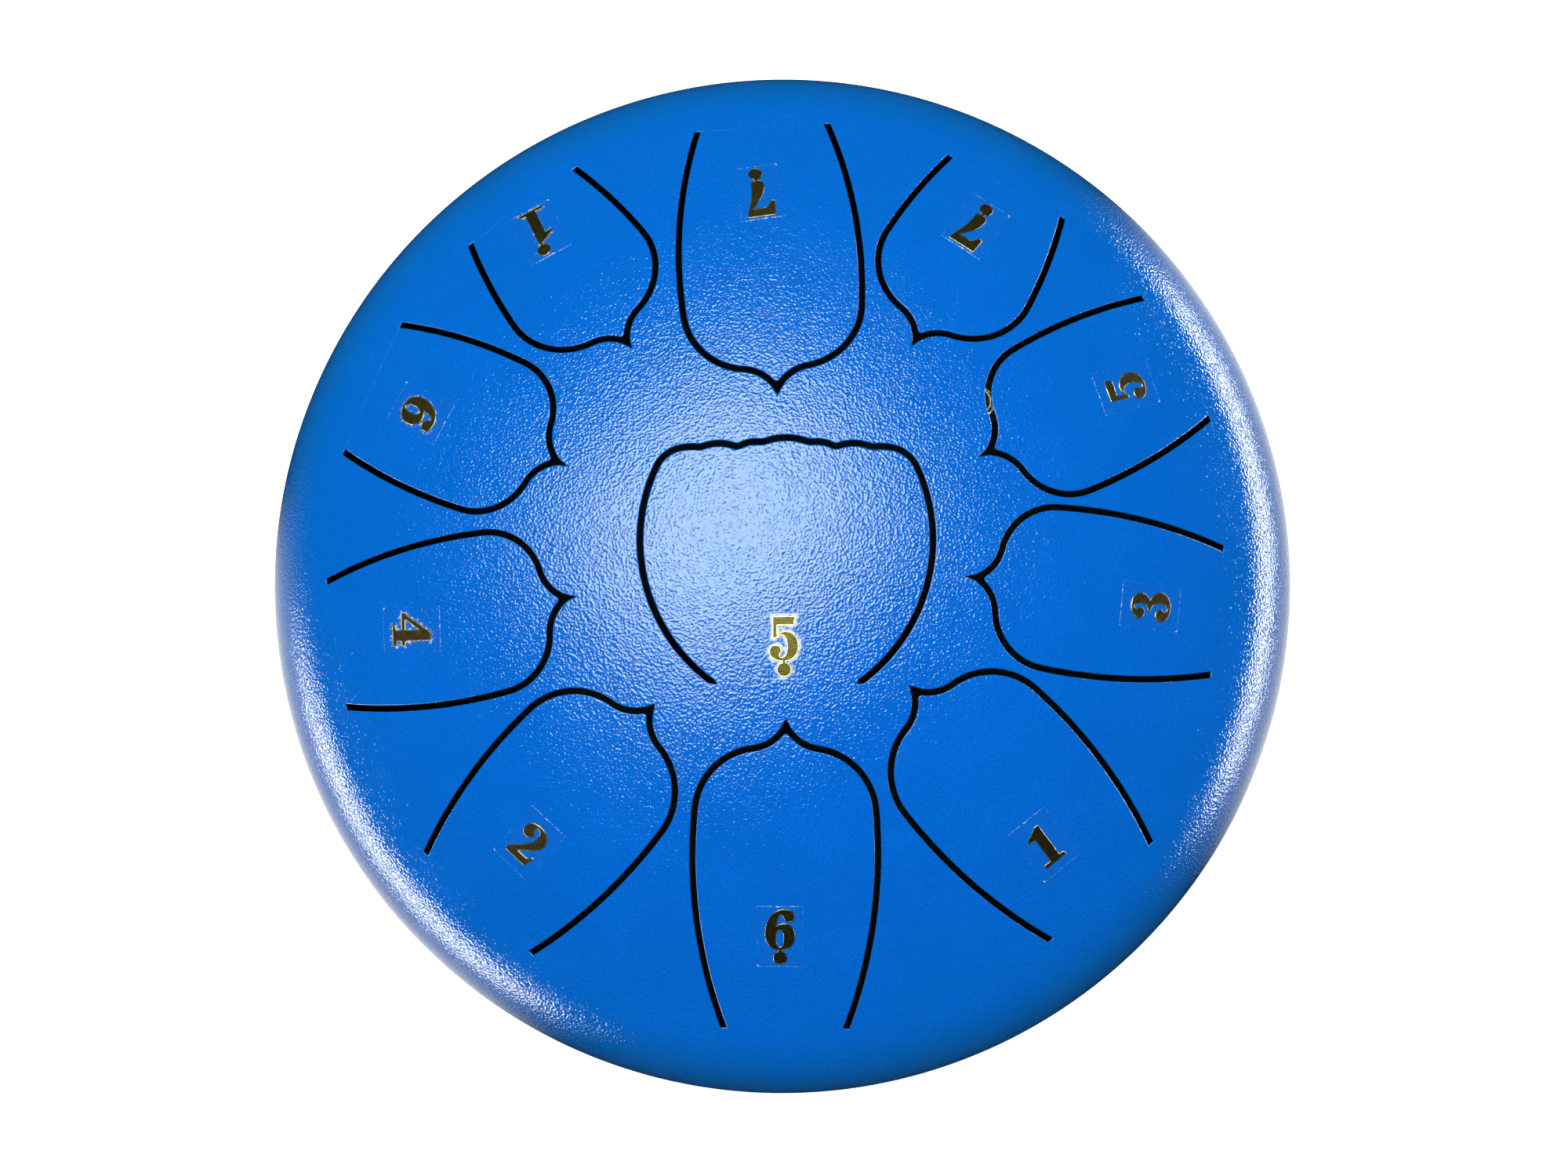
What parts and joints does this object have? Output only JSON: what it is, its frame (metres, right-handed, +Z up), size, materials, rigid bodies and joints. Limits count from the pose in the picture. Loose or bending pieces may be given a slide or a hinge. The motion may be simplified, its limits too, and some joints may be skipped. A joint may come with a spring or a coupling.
{
  "type": "steel tongue drum",
  "caption": "Round hollow steel drum of two domed shells with tuned tongues cut in the top, a sound hole below and rubber feet.",
  "frame": {"origin": "on the floor, centred under the drum, in the plane of the feet's undersides", "axes": "+Z up through the middle of the upper dome; -Y towards the low 6 tongue at the bottom of the picture; +X to its right"},
  "size_m": [0.2545, 0.2544, 0.13],
  "materials": {
    "blue_paint": "semi-gloss blue powder coat with a fine orange-peel texture",
    "clear_film": "thin clear self-adhesive film, glossy",
    "gold_foil": "polished pale gold metal foil",
    "black_rubber": "matt moulded black rubber",
    "zinc_steel": "bright zinc-plated steel"
  },
  "bodies": {
    "shell": {"upper_shell": "blue_paint", "lower_shell": "blue_paint", "weld_seam": "blue_paint", "foot_front_right": "black_rubber", "foot_back_right": "black_rubber", "foot_back_left": "black_rubber", "foot_front_left": "black_rubber", "foot_screws": "zinc_steel", "foot_washers": "zinc_steel", "inner_seats": "black_rubber", "nut_washers": "zinc_steel", "foot_nuts": "zinc_steel"},
    "tongue_1": {"tongue_1": "blue_paint", "film_1": "clear_film", "numeral_1": "gold_foil"},
    "tongue_2": {"tongue_2": "blue_paint", "film_2": "clear_film", "numeral_2": "gold_foil"},
    "tongue_3": {"tongue_3": "blue_paint", "film_3": "clear_film", "numeral_3": "gold_foil"},
    "tongue_4": {"tongue_4": "blue_paint", "film_4": "clear_film", "numeral_4": "gold_foil"},
    "tongue_5": {"tongue_5": "blue_paint", "film_5": "clear_film", "numeral_5": "gold_foil"},
    "tongue_6": {"tongue_6": "blue_paint", "film_6": "clear_film", "numeral_6": "gold_foil"},
    "tongue_1_high": {"tongue_1_high": "blue_paint", "film_1_high": "clear_film", "numeral_1_high": "gold_foil"},
    "tongue_6_low": {"tongue_6_low": "blue_paint", "film_6_low": "clear_film", "numeral_6_low": "gold_foil"},
    "tongue_7_long": {"tongue_7_long": "blue_paint", "film_7_long": "clear_film", "numeral_7_long": "gold_foil"},
    "tongue_7_short": {"tongue_7_short": "blue_paint", "film_7_short": "clear_film", "numeral_7_short": "gold_foil"},
    "tongue_centre": {"tongue_centre": "blue_paint", "film_centre": "clear_film", "numeral_centre": "gold_foil"}
  },
  "joints": [
    {"name": "flex_1", "type": "hinge", "parent": "shell", "child": "tongue_1", "pos_m": [0.0771, -0.07656, 0.10278], "axis": [-0.7242, -0.6896, 0], "range_deg": [-0.5, 0.5], "stiffness_Nm_per_rad": 103},
    {"name": "flex_2", "type": "hinge", "parent": "shell", "child": "tongue_2", "pos_m": [-0.07203, -0.07944, 0.1035], "axis": [-0.7325, 0.6807, 0], "range_deg": [-0.5, 0.5], "stiffness_Nm_per_rad": 107},
    {"name": "flex_3", "type": "hinge", "parent": "shell", "child": "tongue_3", "pos_m": [0.10538, -0.00959, 0.10421], "axis": [-0.1132, -0.9936, 0], "range_deg": [-0.5, 0.5], "stiffness_Nm_per_rad": 103},
    {"name": "flex_4", "type": "hinge", "parent": "shell", "child": "tongue_4", "pos_m": [-0.10696, -0.01713, 0.10295], "axis": [-0.165, 0.9863, 0], "range_deg": [-0.5, 0.5], "stiffness_Nm_per_rad": 104},
    {"name": "flex_5", "type": "hinge", "parent": "shell", "child": "tongue_5", "pos_m": [0.09654, 0.0522, 0.10222], "axis": [0.4756, -0.8796, 0], "range_deg": [-0.5, 0.5], "stiffness_Nm_per_rad": 114},
    {"name": "flex_6", "type": "hinge", "parent": "shell", "child": "tongue_6", "pos_m": [-0.09909, 0.04537, 0.10262], "axis": [0.3971, 0.9178, 0], "range_deg": [-0.5, 0.5], "stiffness_Nm_per_rad": 117},
    {"name": "flex_1_high", "type": "hinge", "parent": "shell", "child": "tongue_1_high", "pos_m": [-0.06269, 0.09021, 0.10217], "axis": [0.8028, 0.5962, 0], "range_deg": [-0.5, 0.5], "stiffness_Nm_per_rad": 129},
    {"name": "flex_6_low", "type": "hinge", "parent": "shell", "child": "tongue_6_low", "pos_m": [0.00152, -0.10908, 0.10256], "axis": [-0.9999, 0.0105, 0], "range_deg": [-0.5, 0.5], "stiffness_Nm_per_rad": 94},
    {"name": "flex_7_long", "type": "hinge", "parent": "shell", "child": "tongue_7_long", "pos_m": [-0.00401, 0.10934, 0.10239], "axis": [0.998, 0.0628, 0], "range_deg": [-0.5, 0.5], "stiffness_Nm_per_rad": 99},
    {"name": "flex_7_short", "type": "hinge", "parent": "shell", "child": "tongue_7_short", "pos_m": [0.05564, 0.09446, 0.10228], "axis": [0.8721, -0.4894, 0], "range_deg": [-0.5, 0.5], "stiffness_Nm_per_rad": 127},
    {"name": "flex_centre", "type": "hinge", "parent": "shell", "child": "tongue_centre", "pos_m": [0.0024, -0.0272, 0.12741], "axis": [-1, 0, 0], "range_deg": [-0.5, 0.5], "stiffness_Nm_per_rad": 182}
  ]
}
